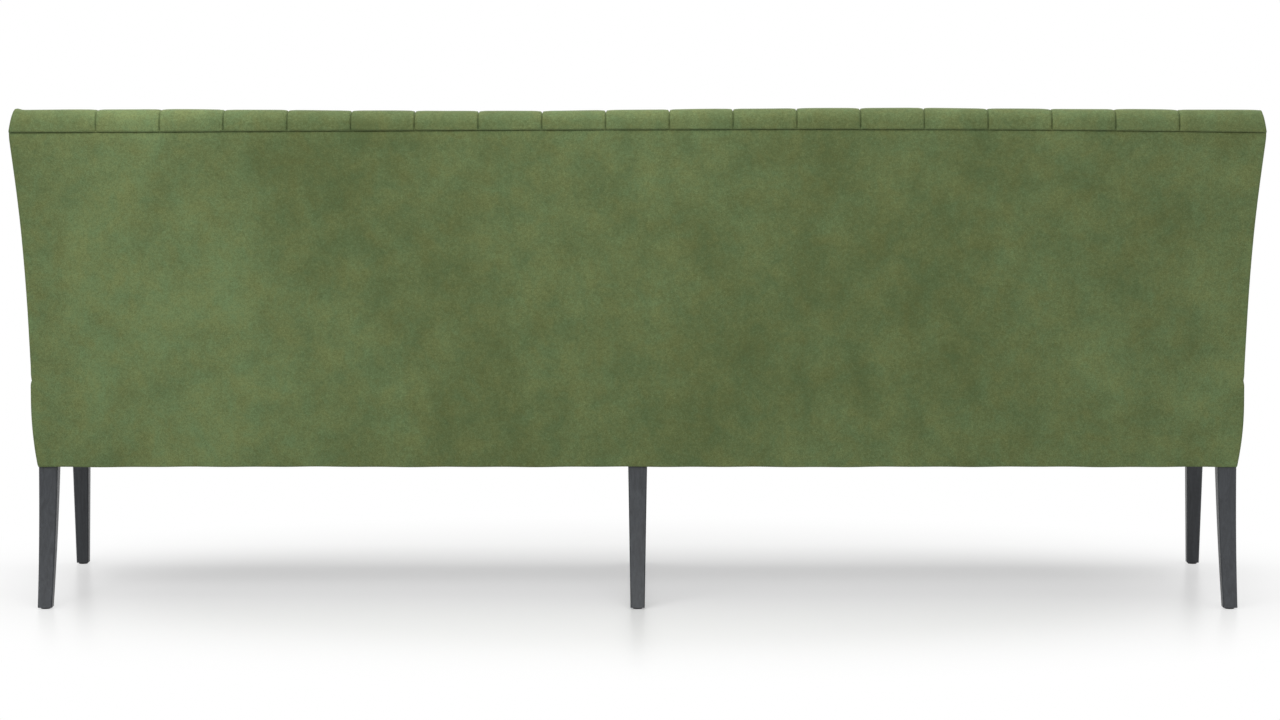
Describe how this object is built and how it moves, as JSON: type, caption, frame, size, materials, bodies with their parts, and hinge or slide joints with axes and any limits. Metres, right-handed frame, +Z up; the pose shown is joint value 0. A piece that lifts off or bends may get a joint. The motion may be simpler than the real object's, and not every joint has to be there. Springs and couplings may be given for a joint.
{
  "type": "kitchen bench",
  "caption": "Long upholstered kitchen bench with a leaning channel-stitched back that rolls over its top, on dark tapered wooden legs with sabre-curved rear legs.",
  "frame": {"origin": "on the floor under the middle of the bench's bounding box", "axes": "+X along the bench to the sitter's left, -Y the way the seat faces, +Z up"},
  "size_m": [2.31, 0.675, 0.945],
  "materials": {
    "stained_wood": "dark stained and lacquered, satin",
    "frame_wood": "planed, unfinished",
    "green_cover": "brushed, softly mottled",
    "foam": "open cell",
    "wadding": "soft fleece",
    "webbing": "woven elastic",
    "felt": "pressed felt",
    "hardboard": "smooth one side",
    "tack_card": "plain",
    "dust_cloth": "non-woven",
    "glide_plastic": "moulded"
  },
  "bodies": {
    "root": {"back_cover": "green_cover", "back_foam": "foam", "back_side_cover_left": "green_cover", "back_side_cover_right": "green_cover", "back_side_wadding_left": "wadding", "back_side_wadding_right": "wadding", "back_stay_left_1": "frame_wood", "back_stay_left_2": "frame_wood", "back_stay_right_1": "frame_wood", "back_stay_right_2": "frame_wood", "back_webbing": "webbing", "backing_board": "hardboard", "centre_block_front_left": "frame_wood", "centre_block_front_right": "frame_wood", "centre_block_rear_left": "frame_wood", "centre_block_rear_right": "frame_wood", "centre_rail": "frame_wood", "corner_block_front_left": "frame_wood", "corner_block_front_right": "frame_wood", "corner_block_rear_left": "frame_wood", "corner_block_rear_right": "frame_wood", "cross_rail_left": "frame_wood", "cross_rail_right": "frame_wood", "dust_cover": "dust_cloth", "front_leg_centre": "stained_wood", "front_leg_left": "stained_wood", "front_leg_right": "stained_wood", "front_rail_left": "frame_wood", "front_rail_right": "frame_wood", "leg_glides": "glide_plastic", "lower_back_rail_left": "frame_wood", "lower_back_rail_right": "frame_wood", "rear_cover": "green_cover", "rear_leg_centre": "stained_wood", "rear_leg_left": "stained_wood", "rear_leg_right": "stained_wood", "rear_rail_left": "frame_wood", "rear_rail_right": "frame_wood", "seat_cover": "green_cover", "seat_foam": "foam", "seat_wadding": "wadding", "seat_webbing": "webbing", "side_rail_left": "frame_wood", "side_rail_right": "frame_wood", "spring_felt": "felt", "tack_strip": "tack_card", "top_rail": "frame_wood"}
  },
  "joints": []
}
